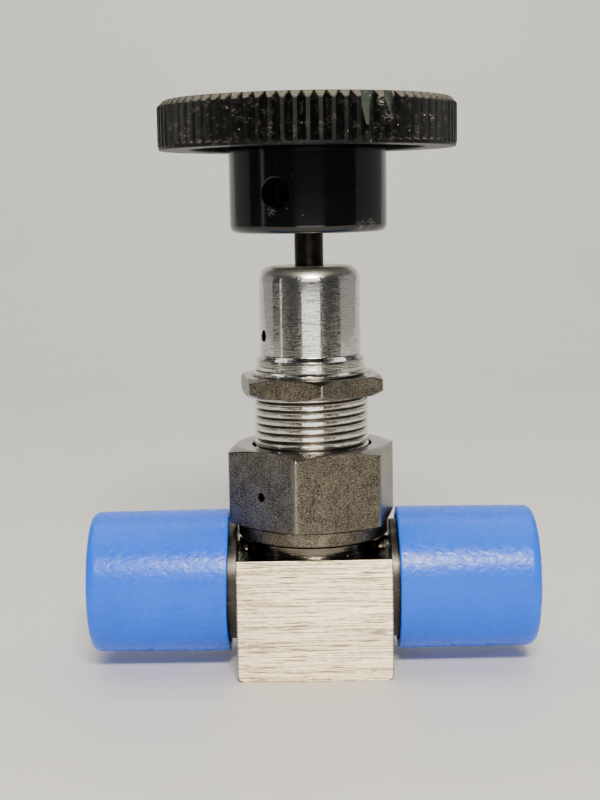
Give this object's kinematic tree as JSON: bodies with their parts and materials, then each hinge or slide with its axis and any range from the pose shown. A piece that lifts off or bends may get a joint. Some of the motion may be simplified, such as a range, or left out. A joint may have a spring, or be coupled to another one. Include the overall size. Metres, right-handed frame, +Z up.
{
  "type": "bellows-sealed valve",
  "caption": "Bellows-sealed shut-off valve with a knurled round handwheel, a threaded panel-mount bonnet, hex union nut, square block and blue caps on its threaded ends.",
  "frame": {"origin": "middle of the block's flat bottom, on the stem's axis", "axes": "+Z up along the stem, X along the flow with the inlet at -X, and -Y towards the face with the blank marking area"},
  "size_m": [0.0744, 0.0486, 0.0936],
  "materials": {
    "brushed_block": "face-milled stainless steel with fine straight tool lines",
    "turned_ends": "turned and polished stainless steel",
    "polished_bonnet": "mirror-turned stainless steel",
    "tumbled_nuts": "tumbled grey-brown stainless steel with bright edges",
    "inner_steel": "plain turned stainless steel",
    "silver_gasket": "flat silver-plated nickel",
    "tip_plastic": "machined fluoropolymer, off-white",
    "black_steel": "black-oxide steel, satin",
    "black_phenolic": "moulded phenolic, glossy black",
    "insert_brass": "turned brass",
    "blue_cap": "soft moulded polyethylene, slightly translucent blue"
  },
  "bodies": {
    "valve": {"valve_body": "brushed_block", "left_end": "turned_ends", "right_end": "turned_ends", "body_gasket": "silver_gasket", "bellows_ring": "inner_steel", "bellows": "inner_steel", "bonnet": "polished_bonnet", "guide_pin": "inner_steel", "bonnet_nut": "tumbled_nuts"},
    "stem": {"inner_stem": "inner_steel", "bellows_head": "inner_steel", "stem_tip": "tip_plastic", "thrust_ball": "inner_steel"},
    "handle": {"drive_stem": "black_steel", "handwheel": "black_phenolic", "handle_insert": "insert_brass", "set_screw": "black_steel"},
    "panel_nut": {"panel_nut": "tumbled_nuts"},
    "left_cap": {"left_cap": "blue_cap"},
    "right_cap": {"right_cap": "blue_cap"}
  },
  "joints": [
    {"name": "stem_lift", "type": "slide", "parent": "valve", "child": "stem", "axis": [0, 0, 1], "range_m": [0, 0.00191], "deforming": ["bellows"]},
    {"name": "handle_turn", "type": "hinge", "parent": "stem", "child": "handle", "pos_m": [0, 0, 0.08], "axis": [0, 0, 1], "range_deg": [0, 540]},
    {"name": "panel_nut_travel", "type": "slide", "parent": "valve", "child": "panel_nut", "axis": [0, 0, 1], "range_m": [-0.0081, 0.0008]},
    {"name": "left_cap_pull", "type": "slide", "parent": "valve", "child": "left_cap", "axis": [-1, 0, 0], "range_m": [0, 0.0265]},
    {"name": "right_cap_pull", "type": "slide", "parent": "valve", "child": "right_cap", "axis": [1, 0, 0], "range_m": [0, 0.0265]}
  ],
  "couplings": [
    {"joint": "stem_lift", "follows": "handle_turn", "m_per_rad": 0.00020213}
  ]
}
